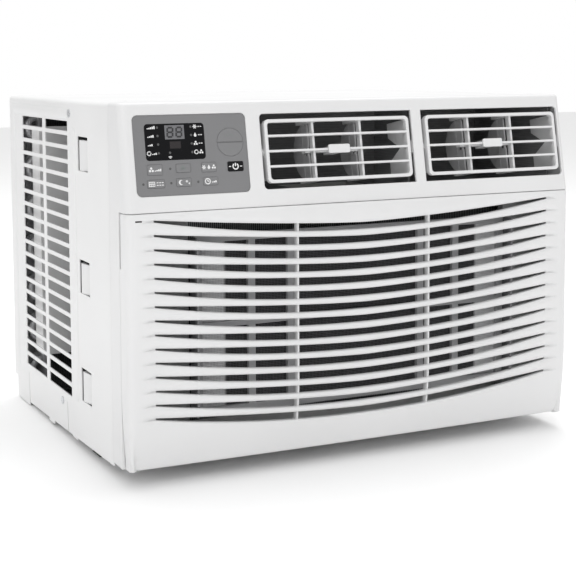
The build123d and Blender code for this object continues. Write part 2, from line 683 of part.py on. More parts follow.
for hand, middle in OUTLET_XS.items():
    with BuildPart() as cassette:
        with BuildSketch(FACE.offset(-CASSETTE_INSET)):
            with Locations((middle, V_MID)):
                RectangleRounded(CASSETTE_W, CASSETTE_H, CASSETTE_R)
                RectangleRounded(
                    CASSETTE_W - 2 * RIM, CASSETTE_H - 2 * RIM, CASSETTE_R - RIM / 2, mode=Mode.SUBTRACT
                )
                with GridLocations(0, BLADE_PITCH, 1, 3):
                    Rectangle(CASSETTE_W - RIM, BLADE_T)
        extrude(amount=-CASSETTE_T)
        # upright stiles behind the blades
        with BuildSketch(FACE.offset(-STILE_FRONT)):
            with Locations((middle, V_MID)):
                with GridLocations(VANE_PITCH, 0, 2, 1):
                    Rectangle(STILE_T, CASSETTE_H - RIM)
        extrude(amount=STILE_FRONT - STILE_BACK)
        # cheeks at both ends, notched from behind
        for end in (-1, 1):
            outer = middle + end * CASSETTE_W / 2
            with BuildSketch(Plane(origin=face_point(outer, V_MID, 0), x_dir=-FACE.z_dir, z_dir=(1, 0, 0))):
                Polygon(
                    (CASSETTE_INSET + CASSETTE_T - 1, -CHEEK_HALF),
                    (CHEEK_BACK, -CHEEK_HALF),
                    (CHEEK_BACK, -CHEEK_NOTCH[0]),
                    (CHEEK_NOTCH[1], 0),
                    (CHEEK_BACK, CHEEK_NOTCH[0]),
                    (CHEEK_BACK, CHEEK_HALF),
                    (CASSETTE_INSET + CASSETTE_T - 1, CHEEK_HALF),
                    align=None,
                )
            extrude(amount=-end * CHEEK_T)
        # lugs behind the top and bottom bars hold the vanes' pivots
        with BuildSketch(FACE.offset(-CASSETTE_INSET - CASSETTE_T)):
            with Locations((middle, V_MID)):
                with GridLocations(VANE_PITCH, CASSETTE_H - RIM, 2, 2):
                    Rectangle(LUG_W, RIM)
        extrude(amount=-(LUG_BACK - CASSETTE_INSET - CASSETTE_T))
        for x in (middle - VANE_PITCH / 2, middle + VANE_PITCH / 2):
            rod(
                face_point(x, V_MID - CASSETTE_H, VANE_PIVOT),
                face_point(x, V_MID + CASSETTE_H, VANE_PIVOT),
                VANE_PIN_R + RUNNING,
                Mode.SUBTRACT,
            )
        # side pins on which the cassette tips up and down
        for end in (-1, 1):
            rod(
                face_point(middle + end * CASSETTE_W / 2, V_MID, CASSETTE_PIN_DEPTH),
                face_point(middle + end * (OUTLET_W / 2 + BOSS_T - 0.4), V_MID, CASSETTE_PIN_DEPTH),
                CASSETTE_PIN_R,
            )
            rod(
                face_point(middle + end * CASSETTE_W / 2, V_MID, CASSETTE_PIN_DEPTH),
                face_point(middle + end * (OUTLET_W / 2 - GAP), V_MID, CASSETTE_PIN_DEPTH),
                CASSETTE_PIN_R + 1.4,
            )
    save(cassette, f"louvre_cassette_{hand}")

    for number, x in enumerate((middle - VANE_PITCH / 2, middle + VANE_PITCH / 2), 1):
        # local x = depth behind the face, local y = up the face
        with BuildPart() as vane:
            plane = Plane(origin=face_point(x, V_MID, 0), x_dir=-FACE.z_dir, z_dir=(1, 0, 0))
            with BuildSketch(plane):
                with BuildLine():
                    Polyline(
                        (VANE_PIVOT + 2, -VANE_HALF),
                        (VANE_FRONT, -VANE_HALF),
                        (VANE_FRONT, VANE_HALF),
                        (VANE_PIVOT + 2, VANE_HALF),
                    )
                    ThreePointArc(
                        (VANE_PIVOT + 2, VANE_HALF), (VANE_BACK, 0), (VANE_PIVOT + 2, -VANE_HALF)
                    )
                make_face()
                with Locations(((VANE_FRONT + NOTCH_BACK) / 2 - 1, 0)):
                    Rectangle(NOTCH_BACK - VANE_FRONT + 2, 2 * NOTCH_HALF, mode=Mode.SUBTRACT)
            extrude(amount=VANE_T / 2, both=True)
            rod(
                face_point(x, V_MID - NOTCH_HALF - 1, DRIVE_DEPTH),
                face_point(x, V_MID + NOTCH_HALF + 1, DRIVE_DEPTH),
                DRIVE_R,
            )
            rod(
                face_point(x, V_MID - CASSETTE_H / 2 + 0.5, VANE_PIVOT),
                face_point(x, V_MID + CASSETTE_H / 2 - 0.5, VANE_PIVOT),
                VANE_PIN_R,
            )
        save(vane, f"vane_{hand}_{number}")

    # the tab clips round the middle blade and carries the link behind it
    with BuildPart() as tab:
        with BuildSketch(FACE.offset(TAB_PROUD)):
            with Locations((middle + TAB_SHIFT, V_MID)):
                RectangleRounded(2 * TAB_HALF, TAB_H, 1.5)
        extrude(amount=-CAP_T)
        with BuildSketch(FACE.offset(TAB_PROUD - CAP_T / 2)):
            with Locations((middle + TAB_SHIFT, V_MID)):
                Rectangle(2 * JAW_HALF, TAB_H - 1)
        extrude(amount=-TAB_PROUD - LINK_BACK + CAP_T / 2)
        with BuildSketch(FACE.offset(-CASSETTE_INSET + SLIDE_GAP)):
            with Locations((middle, V_MID)):
                Rectangle(3 * TAB_HALF, BLADE_T + 2 * SLIDE_GAP)
        extrude(amount=-2 * LINK_BACK, mode=Mode.SUBTRACT)
    save(tab, f"slider_tab_{hand}")

    with BuildPart() as link:
        with BuildSketch(FACE.offset(-LINK_FRONT)):
            with Locations((middle, V_MID)):
                Rectangle(VANE_PITCH + 9, BLADE_T + 2 * SLIDE_GAP)
        extrude(amount=-(LINK_BACK - LINK_FRONT))
        for x in (middle - VANE_PITCH / 2, middle + VANE_PITCH / 2):
            # the drive pin swings back as its vane turns, so its hole is a slot
            middle_depth = DRIVE_DEPTH + DRIVE_SWING / 2
            pin_plane = Plane(origin=face_point(x, V_MID, middle_depth), x_dir=(1, 0, 0), z_dir=FACE.y_dir)
            with BuildSketch(pin_plane):
                SlotOverall(2 * (DRIVE_R + SLIDE_GAP) + DRIVE_SWING, 2 * (DRIVE_R + SLIDE_GAP), rotation=90)
            extrude(amount=TAB_H, both=True, mode=Mode.SUBTRACT)
    save(link, f"vane_link_{hand}")

# ---------------------------------------------------------------- air path behind the front
DUCT_X = (-109.5, 228.2)
DUCT_Z = (248.5, 334.0)
DUCT_Y = (26.0, 156.0)         # depths of its front and back
DUCT_T = 1.5
DIVIDER_BACK = 90.0
SCROLL_R = 95.0
SCROLL = (94.0, 152.0)         # depths of the scroll's front and back
WHEEL_R = 78.0
WHEEL = (101.0, 147.0)
INLET_R = 62.0
SCROLL_HUB_R = 16.0
BULKHEAD = 158.0
BULKHEAD_HALF = 230.4
SHAFT_R = 4.0
PIPE_R = 4.0
SUCTION_HOLE = (214.0, 236.0)  # x and z where the suction pipe passes the bulkhead

with BuildPart() as outlet_duct:
    block((DUCT_X[0], at(DUCT_Y[0]), DUCT_Z[0]), (DUCT_X[1], at(DUCT_Y[1]), DUCT_Z[1]))
    block(
        (DUCT_X[0] + DUCT_T, at(DUCT_Y[0] - 1), DUCT_Z[0] + DUCT_T),
        (DUCT_X[1] - DUCT_T, at(DUCT_Y[1] - DUCT_T), DUCT_Z[1] - DUCT_T),
        Mode.SUBTRACT,
    )
    block(
        (SHAFT_X + 5, at(SCROLL[0] + 2), DUCT_Z[0] - 1),
        (SHAFT_X + SCROLL_R, at(SCROLL[1] - 2), DUCT_Z[0] + 3),
        Mode.SUBTRACT,
    )
    # divider between the two outlets
    block((MIDDLE_X - 1, at(DUCT_Y[0]), DUCT_Z[0] + 1), (MIDDLE_X + 1, at(DIVIDER_BACK), DUCT_Z[1] - 1))
save(outlet_duct, "outlet_duct")


def scroll_outline(grow):
    """Blower scroll: a round casing opening upwards on its right side."""
    with Locations((SHAFT_X, SHAFT_Z)):
        Circle(SCROLL_R + grow)
    with Locations((SHAFT_X + SCROLL_R / 2 + 2.5, (SHAFT_Z + DUCT_Z[0]) / 2)):
        Rectangle(SCROLL_R - 5 + 2 * grow, DUCT_Z[0] - SHAFT_Z)


with BuildPart() as blower_scroll:
    with BuildSketch(wall(SCROLL[0])):
        scroll_outline(0)
    extrude(amount=-(SCROLL[1] - SCROLL[0]))
    offset(amount=-2, openings=blower_scroll.faces().sort_by(Axis.Z)[-1])
    for depth, radius in ((SCROLL[0], INLET_R), (SCROLL[1], SCROLL_HUB_R)):
        rod((SHAFT_X, at(depth - 4), SHAFT_Z), (SHAFT_X, at(depth + 4), SHAFT_Z), radius, Mode.SUBTRACT)
save(blower_scroll, "blower_scroll")

BLOWER_BLADES = 36
with BuildPart() as blower_wheel:
    with BuildSketch(wall(WHEEL[1] - 2)):
        with Locations((SHAFT_X, SHAFT_Z)):
            Circle(WHEEL_R)
            Circle(SHAFT_R, mode=Mode.SUBTRACT)
    extrude(amount=-2)
    with BuildSketch(wall(WHEEL[1] - 24)):
        with Locations((SHAFT_X, SHAFT_Z)):
            Circle(12)
            Circle(SHAFT_R, mode=Mode.SUBTRACT)
    extrude(amount=-22)
    with BuildSketch(wall(WHEEL[0])):
        with Locations((SHAFT_X, SHAFT_Z)):
            Circle(WHEEL_R)
            Circle(WHEEL_R - 12, mode=Mode.SUBTRACT)
    extrude(amount=-3)
    with BuildSketch(wall(WHEEL[0] + 3)):
        with Locations((SHAFT_X, SHAFT_Z)):
            with PolarLocations(WHEEL_R - 6.5, BLOWER_BLADES):
                Rectangle(12, 1.2, rotation=35)
    extrude(amount=-(WHEEL[1] - WHEEL[0] - 5))
save(blower_wheel, "blower_wheel")

FINS = (52.0, 84.0)            # evaporator depth range
EVAP_X = (-196.0, 196.0)
EVAP_Z = (38.0, 238.0)
TUBE_R = 3.5
TRAY = (212.0, (50.5, 90.0), (28.0, 36.0))     # half width, depths and heights
TRAY_T = 1.5


def coil(x_range, depths, z_range, columns, rows):
    """Fin pack with end plates and hairpin bends, added to the part being built."""
    y0, y1 = at(depths[0]), at(depths[1])
    block((x_range[0], y0, z_range[0]), (x_range[1], y1, z_range[1]))
    column_pitch = (y1 - y0) / columns
    row_pitch = (z_range[1] - z_range[0]) / rows
    for hand, x in ((-1, x_range[0]), (1, x_range[1])):
        block((x - 1, y0 - 2, z_range[0] - 1), (x + 1, y1 + 2, z_range[1] + 1))
        for column in range(columns):
            y = y0 + (column + 0.5) * column_pitch
            for row in range(0, rows - 1, 2):
                z = z_range[0] + (row + 1) * row_pitch
                with Locations(Plane(origin=(x, y, z), x_dir=(0, 0, 1), z_dir=(0, hand, 0))):
                    Torus(row_pitch / 2, TUBE_R)


with BuildPart() as evaporator_coil:
    coil(EVAP_X, FINS, EVAP_Z, 2, 10)
save(evaporator_coil, "evaporator_coil")

with BuildPart() as drip_tray:
    half, (front, back), (low, high) = TRAY
    block((-half, at(front), low), (half, at(back), high))
    half, front, back, low = half - TRAY_T, front + TRAY_T, back - TRAY_T, low + TRAY_T
    block((-half, at(front), low), (half, at(back), high + 1), Mode.SUBTRACT)
save(drip_tray, "drip_tray")

with BuildPart() as bulkhead:
    block((-BULKHEAD_HALF, at(BULKHEAD), 30), (BULKHEAD_HALF, at(BULKHEAD + SHEET), 336))
    rod((SHAFT_X, at(BULKHEAD - 2), SHAFT_Z), (SHAFT_X, at(BULKHEAD + 4), SHAFT_Z), 20, Mode.SUBTRACT)
    x, z = SUCTION_HOLE
    rod((x, at(BULKHEAD - 2), z), (x, at(BULKHEAD + 4), z), PIPE_R + 1, Mode.SUBTRACT)
save(bulkhead, "bulkhead")

# ---------------------------------------------------------------- fan motor and outdoor fan
MOTOR = (170.0, 236.0)
MOTOR_R = 48.0
FAN = (286.0, 310.0)
FAN_R = 108.0
FAN_BLADES = 5
BLADE_CHORD = 46.0
HUB_R = 26.0
BRACKET = (190.0, 206.0)       # depths of the strap
STRAP_T = 2.0
LEGS = 3
LEG_W = 14.0

with BuildPart() as fan_motor:
    rod((SHAFT_X, at(MOTOR[0]), SHAFT_Z), (SHAFT_X, at(MOTOR[1]), SHAFT_Z), MOTOR_R)
    fillet(fan_motor.edges(), 6)
    rod((SHAFT_X, at(MOTOR[0] - 5), SHAFT_Z), (SHAFT_X, at(MOTOR[1] + 5), SHAFT_Z), 11)
    rod(
        (SHAFT_X, at(MOTOR[0] - 9), SHAFT_Z),
        (SHAFT_X, at(MOTOR[1] + 9), SHAFT_Z),
        SHAFT_R + RUNNING,
        Mode.SUBTRACT,
    )
save(fan_motor, "fan_motor")

# a strap round the motor on three legs from the bulkhead
with BuildPart() as motor_bracket:
    with BuildSketch(wall(BRACKET[0])):
        with Locations((SHAFT_X, SHAFT_Z)):
            Circle(MOTOR_R + STRAP_T)
            Circle(MOTOR_R, mode=Mode.SUBTRACT)
            with PolarLocations(MOTOR_R + 6, LEGS, start_angle=90):
                Rectangle(10, LEG_W)
    extrude(amount=BRACKET[0] - BRACKET[1])
    with BuildSketch(wall(BULKHEAD + SHEET)):
        with Locations((SHAFT_X, SHAFT_Z)):
            with PolarLocations(MOTOR_R + 9, LEGS, start_angle=90):
                Rectangle(3, LEG_W)
    extrude(amount=BULKHEAD + SHEET - BRACKET[1])
save(motor_bracket, "motor_bracket")

with BuildPart() as motor_shaft:
    rod((SHAFT_X, at(WHEEL[0] + 10), SHAFT_Z), (SHAFT_X, at(FAN[1] + 2), SHAFT_Z), SHAFT_R)
save(motor_shaft, "motor_shaft")

with BuildPart() as condenser_fan:
    with BuildSketch(wall(FAN[0])):
        with Locations((SHAFT_X, SHAFT_Z)):
            Circle(FAN_R)
            Circle(FAN_R - 3, mode=Mode.SUBTRACT)
            Circle(HUB_R)
            Circle(SHAFT_R, mode=Mode.SUBTRACT)
    extrude(amount=-(FAN[1] - FAN[0]))
    for number in range(FAN_BLADES):
        turn = Location((SHAFT_X, at(sum(FAN) / 2), SHAFT_Z), (0, 1, 0), 360 * number / FAN_BLADES)
        tilt = turn * Location((0, 0, 0), (0, 0, 1), 24)
        with Locations(tilt):
            with Locations((0, 0, (HUB_R + FAN_R) / 2 - 3)):
                Box(BLADE_CHORD, 1.8, FAN_R - HUB_R)
save(condenser_fan, "condenser_fan")

SHROUD = 299.0
SHROUD_HALF = 226.0
SHROUD_Z = (62.0, 308.0)
SHROUD_T = 1.5
COIL = (330.0, 368.0)
COIL_X = (-216.0, 216.0)
COIL_Z = (16.0, 328.0)
FLANGE_X = 230.0
SHROUD_R = FAN_R + 5
with BuildPart() as fan_shroud:
    block((-SHROUD_HALF, at(SHROUD), SHROUD_Z[0]), (SHROUD_HALF, at(SHROUD + SHROUD_T), SHROUD_Z[1]))
    for hand in (-1, 1):
        inner, outer = sorted((hand * (SHROUD_HALF - SHROUD_T), hand * SHROUD_HALF))
        block((inner, at(SHROUD), SHROUD_Z[0]), (outer, at(COIL[0] - 2.5), SHROUD_Z[1]))
    rod((SHAFT_X, at(SHROUD), SHAFT_Z), (SHAFT_X, at(SHROUD + 14), SHAFT_Z), SHROUD_R + 2)
    rod((SHAFT_X, at(SHROUD - 1), SHAFT_Z), (SHAFT_X, at(SHROUD + 15), SHAFT_Z), SHROUD_R, Mode.SUBTRACT)
save(fan_shroud, "fan_shroud")

with BuildPart() as condenser_coil:
    coil(COIL_X, COIL, COIL_Z, 2, 14)
    # mounting flanges close the gaps beside the fins
    for hand in (-1, 1):
        inner, outer = sorted((hand * (COIL_X[1] - 1), hand * FLANGE_X))
        block((inner, at(COIL[1]), COIL_Z[0]), (outer, at(COIL[1] + SHEET), COIL_Z[1]))
save(condenser_coil, "condenser_coil")

# ---------------------------------------------------------------- refrigerant circuit
COMP_R = 50.0
COMP_Z = (47.0, 205.0)
FOOT_PLATE_Z = 44.0
STUD_R = 4.0
with BuildPart() as compressor:
    with Locations((*COMPRESSOR, COMP_Z[0])):
        Cylinder(COMP_R, COMP_Z[1] - COMP_Z[0], align=(Align.CENTER, Align.CENTER, Align.MIN))
    fillet(compressor.edges().group_by(Axis.Z)[-1], 24)
    fillet(compressor.edges().group_by(Axis.Z)[0], 10)
    with BuildSketch(Plane.XY.offset(FOOT_PLATE_Z)):
        with Locations(COMPRESSOR):
            Circle(COMP_R)
        for place in compressor_feet():
            with Locations(place):
                Circle(SEAT_R)
                Circle(STUD_R, mode=Mode.SUBTRACT)
    extrude(amount=COMP_Z[0] - FOOT_PLATE_Z)
save(compressor, "compressor")

with BuildPart() as compressor_grommets:
    for x, y in compressor_feet():
        rod((x, y, GROMMET_SEAT), (x, y, FOOT_PLATE_Z), SEAT_R - 1)
        rod((x, y, GROMMET_SEAT), (x, y, COMP_Z[0] + 3), STUD_R)
save(compressor_grommets, "compressor_grommets")

with BuildPart() as terminal_cover:
    with Locations((COMPRESSOR[0] - COMP_R - 7, COMPRESSOR[1], 120)):
        Box(14, 40, 46)
    with Locations((*COMPRESSOR, 120)):
        Cylinder(COMP_R, 60, mode=Mode.SUBTRACT)
save(terminal_cover, "terminal_cover")

ACCUMULATOR = (196.0, at(180))
ACCUMULATOR_Z = (70.0, 180.0)
with BuildPart() as accumulator:
    rod((*ACCUMULATOR, ACCUMULATOR_Z[0]), (*ACCUMULATOR, ACCUMULATOR_Z[1]), 16)
    fillet(accumulator.edges(), 9)
save(accumulator, "accumulator")


def pipe(points, radius, bend):
    """Copper pipe of straight runs and round bends through the points given."""
    with BuildLine(mode=Mode.PRIVATE) as route:
        FilletPolyline(*points, radius=bend)
    start = Plane(origin=points[0], z_dir=Vector(*points[1]) - Vector(*points[0]))
    with BuildSketch(start, mode=Mode.PRIVATE) as section:
        Circle(radius)
    sweep(sections=section.sketch, path=route.line)


RISER = (COMPRESSOR[0] + 44, COMPRESSOR[1] + 10)
RISER_Z = (262.0, 318.0)
discharge = (
    (*COMPRESSOR, COMP_Z[1]),
    (*COMPRESSOR, RISER_Z[0]),
    (*RISER, RISER_Z[0]),
    (*RISER, RISER_Z[1]),
    (RISER[0], at(COIL[0] - 2), RISER_Z[1]),
)
with BuildPart() as discharge_pipe:
    pipe(discharge, PIPE_R, 14)
save(discharge_pipe, "discharge_pipe")

suction = (
    (*ACCUMULATOR, ACCUMULATOR_Z[1]),
    (*ACCUMULATOR, SUCTION_HOLE[1]),
    (SUCTION_HOLE[0], ACCUMULATOR[1], SUCTION_HOLE[1]),
    (SUCTION_HOLE[0], at(sum(FINS) / 2), SUCTION_HOLE[1]),
    (EVAP_X[1] + 1, at(sum(FINS) / 2), SUCTION_HOLE[1]),
)
with BuildPart() as suction_pipe:
    pipe(suction, PIPE_R, 8)
save(suction_pipe, "suction_pipe")

CAPACITOR = (-186.0, at(178))
with BuildPart() as run_capacitor:
    rod((*CAPACITOR, 250), (*CAPACITOR, 312), 18)
    fillet(run_capacitor.edges(), 2)
save(run_capacitor, "run_capacitor")
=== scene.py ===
import json
from math import asin, atan2, cos, degrees, pi, radians, sin, sqrt

import bmesh
import bpy
from mathutils import Matrix, Vector


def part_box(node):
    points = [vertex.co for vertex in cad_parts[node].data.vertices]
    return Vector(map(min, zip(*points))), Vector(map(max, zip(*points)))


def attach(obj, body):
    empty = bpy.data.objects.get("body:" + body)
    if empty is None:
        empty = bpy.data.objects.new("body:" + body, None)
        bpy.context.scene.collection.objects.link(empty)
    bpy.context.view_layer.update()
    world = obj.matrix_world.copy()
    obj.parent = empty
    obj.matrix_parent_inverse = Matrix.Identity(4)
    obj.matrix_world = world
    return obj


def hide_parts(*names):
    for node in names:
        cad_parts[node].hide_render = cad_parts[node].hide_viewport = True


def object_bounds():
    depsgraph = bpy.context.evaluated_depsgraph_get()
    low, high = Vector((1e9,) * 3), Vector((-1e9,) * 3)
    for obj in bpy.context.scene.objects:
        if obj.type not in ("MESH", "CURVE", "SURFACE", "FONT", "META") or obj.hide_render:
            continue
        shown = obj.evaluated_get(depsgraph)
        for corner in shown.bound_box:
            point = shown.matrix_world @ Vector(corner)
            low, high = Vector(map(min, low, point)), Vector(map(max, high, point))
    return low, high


# Window air conditioner: finishes, lights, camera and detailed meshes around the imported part.
# Lengths below are in millimetres in the part's own frame and become metres in the mesh makers.

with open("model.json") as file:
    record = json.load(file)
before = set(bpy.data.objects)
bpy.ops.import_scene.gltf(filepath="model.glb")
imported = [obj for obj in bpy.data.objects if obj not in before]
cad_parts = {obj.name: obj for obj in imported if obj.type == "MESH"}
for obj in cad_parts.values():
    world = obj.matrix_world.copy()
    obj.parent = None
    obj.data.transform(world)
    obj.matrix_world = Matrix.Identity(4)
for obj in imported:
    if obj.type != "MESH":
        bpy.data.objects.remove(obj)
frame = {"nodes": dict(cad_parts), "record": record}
size_at_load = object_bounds()

MM = 0.001
WIDTH, DEPTH = (span / MM for span in (size_at_load[1] - size_at_load[0])[:2])
BOW = 3.0                      # bulge of the intake grille
LEAN = radians(10.25)          # backward lean of the upper front
SEAM_Z = 245.0
FASCIA_BOTTOM = 16.0
CORNER_Y = BOW - DEPTH / 2


def at(depth):
    """Y of a plane this far behind the front corners."""
    return CORNER_Y + depth


def face_point(x, v, depth=0.0):
    """Point on the leaning face: across, up the slope, and behind the face."""
    return (x, at(v * sin(LEAN) + depth * cos(LEAN)), SEAM_Z + v * cos(LEAN) - depth * sin(LEAN))


# ---------------------------------------------------------------- materials
class Nodes:
    """Small helper that adds shader nodes and links them."""

    def __init__(self, name):
        self.material = bpy.data.materials.new(name)
        self.material.use_nodes = True
        self.tree = self.material.node_tree
        self.shader = self.tree.nodes["Principled BSDF"]

    def add(self, kind, inputs=None, **settings):
        node = self.tree.nodes.new(f"ShaderNode{kind}")
        for key, value in settings.items():
            setattr(node, key, value)
        for key, value in (inputs or {}).items():
            if isinstance(value, bpy.types.NodeSocket):
                self.tree.links.new(value, node.inputs[key])
            else:
                node.inputs[key].default_value = value
        return node

    def feed(self, socket_name, output):
        self.tree.links.new(output, self.shader.inputs[socket_name])

    def places(self):
        return self.add("TexCoord").outputs["Object"]

    def noise(self, scale, detail=3.0, places=None):
        where = places or self.places()
        return self.add("TexNoise", {"Vector": where, "Scale": scale, "Detail": detail}).outputs["Fac"]

    def between(self, factor, low, high):
        """Number that runs from low to high with the factor."""
        ramp = self.add("MapRange", {"Value": factor, "To Min": low, "To Max": high})
        return ramp.outputs["Result"]

    def colours(self, factor, *stops):
        ramp = self.add("ValToRGB", {"Fac": factor})
        elements = ramp.color_ramp.elements
        while len(elements) < len(stops):
            elements.new(0.5)
        for element, (place, colour) in zip(elements, stops):
            element.position = place
            element.color = (*colour, 1.0)
        return ramp.outputs["Color"]

    def bump(self, height, distance, strength=0.4, normal=None):
        inputs = {"Height": height, "Distance": distance, "Strength": strength}
        if normal is not None:
            inputs["Normal"] = normal
        return self.add("Bump", inputs).outputs["Normal"]


def shade(colour, factor):
    return tuple(min(1.0, channel * factor) for channel in colour)


def finish(name, colour, roughness, metallic=0.0, grain=900.0, depth=0.02, spread=0.05, soft=0.0, gloss=0.5):
    """Finish with slow colour drift, fine grain in bump and roughness, and softened edges."""
    n = Nodes(name)
    drift = n.noise(9.0, 2.0)
    fine = n.noise(grain, 3.0)
    n.feed("Base Color", n.colours(drift, (0.3, shade(colour, 1 - spread)), (0.7, shade(colour, 1 + spread))))
    n.feed("Roughness", n.between(fine, roughness - 0.06, roughness + 0.06))
    rounded = n.add("Bevel", {"Radius": soft * MM}, samples=4).outputs["Normal"] if soft else None
    n.feed("Normal", n.bump(fine, depth * MM, 0.5, rounded))
    n.shader.inputs["Metallic"].default_value = metallic
    n.shader.inputs["Specular IOR Level"].default_value = gloss
    return n.material


def fin_metal(name, dark, light, metallic, half):
    """Fin pack of closely spaced upright fins, with bright end plates beyond its half width; the gaps between
    the fins are painted darker as painted shade.
    """
    n = Nodes(name)
    where = n.places()
    split = n.add("SeparateXYZ", {"Vector": where})
    fins = n.add("Math", {0: split.outputs["X"], 1: 2 * pi / (2.0 * MM)}, operation="MULTIPLY").outputs[0]
    wave = n.add("Math", {0: fins}, operation="SINE").outputs[0]
    worn = n.noise(35.0, 3.0, where)
    # painted shade: the fin wave runs the colour from the dark shade between the fins to the lit fin edges
    fin_relief_and_gap_shade = n.add("MapRange", {"Value": wave, "From Min": -1.0, "To Min": 0.15}).outputs["Result"]
    out = n.add("Math", {0: split.outputs["X"]}, operation="ABSOLUTE").outputs[0]
    ends = n.add("MapRange", {"Value": out, "From Min": (half - 1.5) * MM, "From Max": (half - 1.2) * MM})
    plate = n.colours(worn, (0.3, (0.40, 0.40, 0.41)), (0.7, (0.50, 0.50, 0.51)))
    mix = n.add("Mix", data_type="RGBA")
    n.tree.links.new(ends.outputs["Result"], mix.inputs["Factor"])
    n.tree.links.new(n.colours(fin_relief_and_gap_shade, (0.0, dark), (1.0, light)), mix.inputs["A"])
    n.tree.links.new(plate, mix.inputs["B"])
    n.feed("Base Color", mix.outputs["Result"])
    n.feed("Roughness", n.between(worn, 0.28, 0.5))
    n.feed("Normal", n.bump(fin_relief_and_gap_shade, 0.5 * MM, 0.6))
    n.shader.inputs["Metallic"].default_value = metallic
    return n.material


def net():
    """Fine woven net over the dark filter, lighter towards both ends where light gets behind it."""
    n = Nodes("filter_net")
    where = n.places()
    split = n.add("SeparateXYZ", {"Vector": where})
    pitch = 2 * pi / (1.5 * MM)
    threads = []
    for axis in ("X", "Z"):
        turns = n.add("Math", {0: split.outputs[axis], 1: pitch}, operation="MULTIPLY").outputs[0]
        threads.append(n.add("Math", {0: turns}, operation="SINE").outputs[0])
    weave = n.add("Math", {0: threads[0], 1: threads[1]}, operation="MAXIMUM").outputs[0]
    out = n.add("Math", {0: split.outputs["X"]}, operation="ABSOLUTE").outputs[0]
    ends = n.add("MapRange", {"Value": out, "From Min": 0.134, "From Max": 0.137}).outputs["Result"]
    dark = n.colours(weave, (0.2, (0.008, 0.008, 0.0085)), (1.0, (0.10, 0.10, 0.105)))
    light = n.colours(weave, (0.2, (0.55, 0.55, 0.56)), (1.0, (0.80, 0.80, 0.81)))
    mix = n.add("Mix", data_type="RGBA")
    n.tree.links.new(ends, mix.inputs["Factor"])
    n.tree.links.new(dark, mix.inputs["A"])
    n.tree.links.new(light, mix.inputs["B"])
    n.feed("Base Color", mix.outputs["Result"])
    n.feed("Normal", n.bump(weave, 0.3 * MM, 0.8))
    n.shader.inputs["Roughness"].default_value = 0.8
    return n.material


def pinstripe(name, colour, roughness):
    """Moulded plastic with fine level ridges, as inside the outlet duct, each ridge painted lighter on its
    crest and darker in its groove as painted highlight and shade.
    """
    n = Nodes(name)
    where = n.places()
    split = n.add("SeparateXYZ", {"Vector": where})
    turns = n.add("Math", {0: split.outputs["Z"], 1: 2 * pi / (2.6 * MM)}, operation="MULTIPLY").outputs[0]
    ridge = n.add("Math", {0: turns}, operation="SINE").outputs[0]
    level = n.add("MapRange", {"Value": ridge, "From Min": -1.0}).outputs["Result"]
    # painted highlight and shade: the colour follows the ridges, lighter on the crests and darker in the
    # grooves
    n.feed("Base Color", n.colours(level, (0.0, shade(colour, 0.92)), (1.0, shade(colour, 1.06))))
    n.feed("Roughness", n.between(n.noise(900.0, 3.0, where), roughness - 0.06, roughness + 0.06))
    n.feed("Normal", n.bump(level, 0.15 * MM, 0.5))
    return n.material


def grey(level):
    return (level, level, level)


